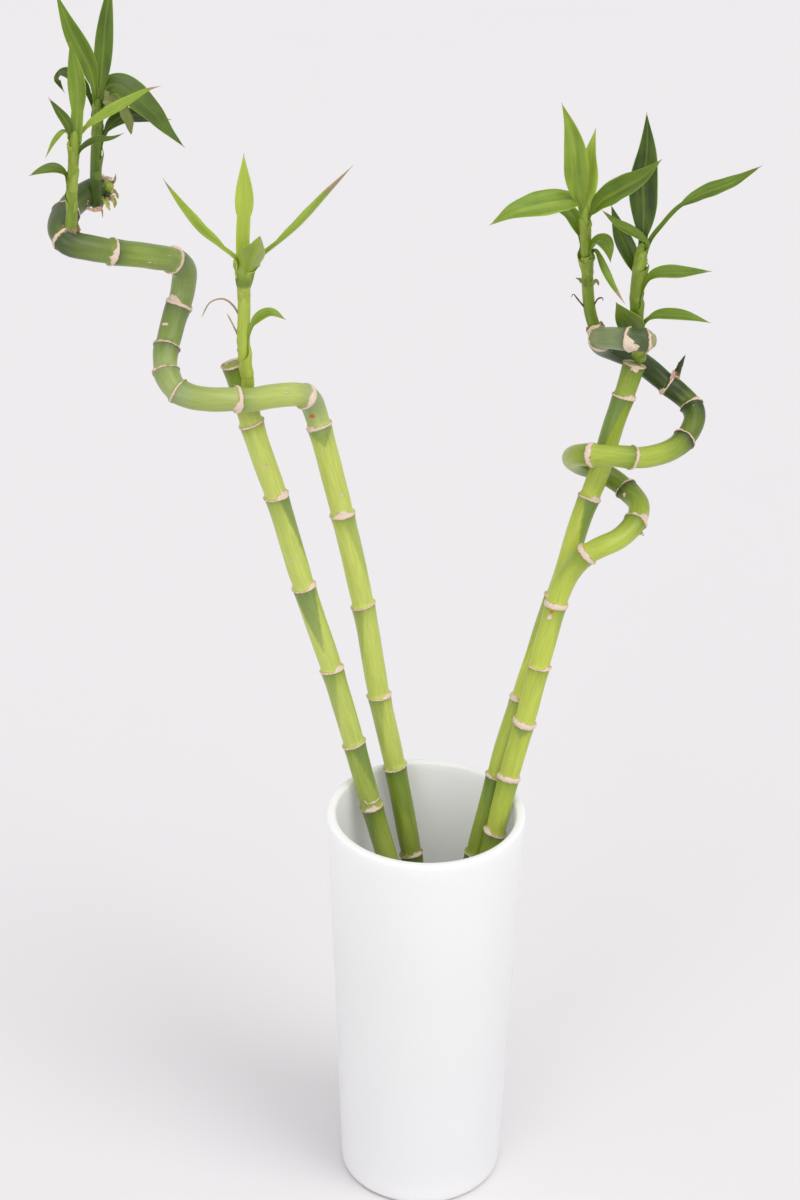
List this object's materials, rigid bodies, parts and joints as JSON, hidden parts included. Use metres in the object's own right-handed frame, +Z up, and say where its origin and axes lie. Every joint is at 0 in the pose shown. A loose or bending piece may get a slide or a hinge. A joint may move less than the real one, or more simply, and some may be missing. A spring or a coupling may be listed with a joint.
{
  "type": "lucky bamboo in a vase",
  "caption": "Straight and coiled lucky bamboo canes with leafy side shoots, leaning in water in a tapered white vase that stands on its flat base.",
  "frame": {"origin": "the middle of the vase's flat underside, which is the lowest face of the object", "axes": "+Z up along the vase, front towards -Y, +X to the right as seen from the front"},
  "size_m": [0.3376, 0.134, 0.6271],
  "materials": {
    "ceramic": "satin",
    "water": "gloss",
    "light_cane": "satin",
    "green_cane": "satin",
    "leaf": "satin"
  },
  "bodies": {
    "root": {"vase": "ceramic", "water": "water", "cane_left_straight": "light_cane", "cane_left_coiled": "green_cane", "cane_right_coiled": "green_cane", "cane_right_straight": "light_cane", "shoot_left_straight": "leaf", "shoot_left_coiled_front": "leaf", "shoot_left_coiled_back": "leaf", "shoot_right_coiled": "leaf", "shoot_right_straight": "leaf"}
  },
  "joints": []
}
